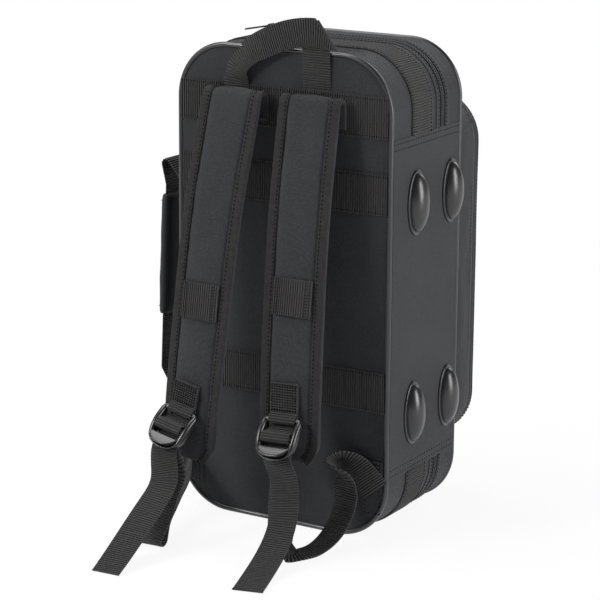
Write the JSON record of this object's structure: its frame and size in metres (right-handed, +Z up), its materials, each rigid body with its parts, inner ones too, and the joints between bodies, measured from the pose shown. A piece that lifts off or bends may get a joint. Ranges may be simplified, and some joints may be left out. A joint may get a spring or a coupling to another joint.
{
  "type": "curved soprano saxophone case",
  "caption": "Soft zipped backpack case for a curved soprano saxophone, with a hinged padded lid, fitted insert, outer pocket, shoulder straps, carry handle and hand loop.",
  "frame": {"origin": "on the floor, in the middle of the case's lower end under its webbing band", "axes": "+Z up along the case's length, +Y out of the lid and its pocket, +X towards the lid's hinge and the side feet"},
  "size_m": [0.3088, 0.4122, 0.504],
  "materials": {
    "woven": "charcoal woven polyester",
    "strap_cloth": "padded woven polyester",
    "webbing": "ribbed black webbing",
    "handle_cloth": "padded sleeve",
    "piping": "glossy black vinyl cord",
    "feet_plastic": "glossy black",
    "buckle_plastic": "glossy black",
    "zip_tape": "black tape",
    "zip_coil": "black nylon coil",
    "slider_metal": "satin black",
    "board_foam": "stiff foam",
    "plush": "short black plush"
  },
  "bodies": {
    "case_back": {"back_panel": "woven", "back_gusset": "woven", "back_hinge_panel": "woven", "shoulder_strap_left": "strap_cloth", "shoulder_strap_right": "strap_cloth", "gusset_band": "webbing", "upper_back_band": "webbing", "middle_back_band": "webbing", "lower_back_band": "webbing", "strap_patch_left": "webbing", "strap_patch_right": "webbing", "strap_tab_left": "webbing", "strap_tab_right": "webbing", "strap_tail_left": "webbing", "strap_tail_right": "webbing", "lower_webbing_left": "webbing", "lower_webbing_right": "webbing", "corner_anchor_left": "webbing", "corner_anchor_right": "webbing", "hand_loop": "webbing", "carry_handle": "webbing", "handle_grip": "handle_cloth", "rear_piping": "piping", "back_foot_lower": "feet_plastic", "back_foot_upper": "feet_plastic", "back_zip_tape": "zip_tape", "back_zip_coil": "zip_coil", "back_board": "board_foam", "fitted_insert": "board_foam", "back_lining": "plush", "hold_down_strap": "plush"},
    "lid": {"lid_board": "board_foam", "lid_lining": "plush", "lid_gusset": "woven", "front_panel": "woven", "front_piping": "piping", "lid_hinge_panel": "woven", "lid_zip_tape": "zip_tape", "lid_zip_coil": "zip_coil", "lid_foot_lower": "feet_plastic", "lid_foot_upper": "feet_plastic", "lid_pad": "plush", "pocket_gusset": "woven", "pocket_gusset_coil": "zip_coil"},
    "pocket_door": {"pocket_flap": "woven", "pocket_flap_coil": "zip_coil"},
    "corner_slider": {"corner_zip_slider": "slider_metal"},
    "corner_pull": {"corner_zip_pull": "slider_metal"},
    "top_slider": {"top_zip_slider": "slider_metal"},
    "top_pull": {"top_zip_pull": "slider_metal"},
    "pocket_slider": {"pocket_zip_slider": "slider_metal"},
    "pocket_pull": {"pocket_zip_pull": "slider_metal"},
    "lock_left": {"ladder_lock_left": "buckle_plastic", "lock_thread_left": "webbing"},
    "lock_right": {"ladder_lock_right": "buckle_plastic", "lock_thread_right": "webbing"}
  },
  "joints": [
    {"name": "lid_hinge", "type": "hinge", "parent": "case_back", "child": "lid", "pos_m": [0.12, 0.03, 0.229], "axis": [0, 0, -1], "range_deg": [0, 110]},
    {"name": "pocket_hinge", "type": "hinge", "parent": "lid", "child": "pocket_door", "pos_m": [0.115, 0.1095, 0.238], "axis": [0, 0, -1], "range_deg": [0, 100]},
    {"name": "corner_slider_run", "type": "hinge", "parent": "case_back", "child": "corner_slider", "pos_m": [-0.0635, 0.03, 0.4185], "axis": [0, -1, 0], "range_deg": [0, 70]},
    {"name": "corner_pull_swing", "type": "hinge", "parent": "corner_slider", "child": "corner_pull", "pos_m": [-0.07525, 0.03, 0.47897], "axis": [0, 1, 0], "range_deg": [0, 150]},
    {"name": "top_slider_run", "type": "slide", "parent": "case_back", "child": "top_slider", "axis": [1, 0, 0], "range_m": [0, 0.108]},
    {"name": "top_pull_swing", "type": "hinge", "parent": "top_slider", "child": "top_pull", "pos_m": [-0.054, 0.03, 0.4801], "axis": [0, -1, 0], "range_deg": [0, 150]},
    {"name": "pocket_slider_run", "type": "slide", "parent": "lid", "child": "pocket_slider", "axis": [-1, 0, 0], "range_m": [0, 0.124]},
    {"name": "pocket_pull_swing", "type": "hinge", "parent": "pocket_slider", "child": "pocket_pull", "pos_m": [0.062, 0.1095, 0.0532], "axis": [0, 1, 0], "range_deg": [-80, 80]},
    {"name": "left_lock_tilt", "type": "hinge", "parent": "case_back", "child": "lock_left", "pos_m": [-0.07323, -0.14676, 0.12786], "axis": [-0.984, 0.1121, -0.1386], "range_deg": [0, 20]},
    {"name": "right_lock_tilt", "type": "hinge", "parent": "case_back", "child": "lock_right", "pos_m": [0.041, -0.13417, 0.12986], "axis": [-1, 0, 0], "range_deg": [0, 20]}
  ]
}
